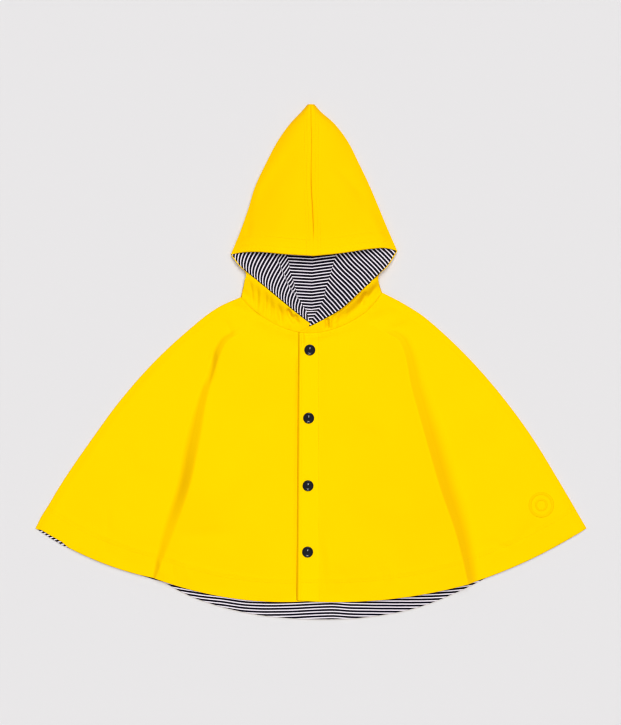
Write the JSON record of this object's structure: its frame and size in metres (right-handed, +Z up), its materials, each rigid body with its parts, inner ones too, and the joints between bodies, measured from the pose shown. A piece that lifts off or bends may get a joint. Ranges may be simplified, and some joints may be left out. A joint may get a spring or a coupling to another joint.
{
  "type": "baby rain cape",
  "caption": "Hooded rain cape for a baby, snapped down the front and laid flat face up, with a pointed hood lined in striped jersey.",
  "frame": {"origin": "middle of the cape's footprint, on the surface it lies on", "axes": "+Z up out of the surface, +Y towards the hood's point, +X towards the wearer's left"},
  "size_m": [0.6168, 0.5757, 0.018],
  "materials": {
    "coated_cloth": "satin waterproof coating on a fine knit, bright yellow",
    "striped_jersey": "matt cotton jersey in narrow even navy and white stripes",
    "snap_enamel": "glossy navy enamelled snap cap with a raised rim"
  },
  "bodies": {
    "root": {"back": "coated_cloth", "back_lining": "striped_jersey", "front_left": "coated_cloth", "front_right": "coated_cloth", "hood_left": "coated_cloth", "hood_right": "coated_cloth", "hood_lining_left": "striped_jersey", "hood_lining_right": "striped_jersey", "snap_1": "snap_enamel", "snap_2": "snap_enamel", "snap_3": "snap_enamel", "snap_4": "snap_enamel"}
  },
  "joints": []
}
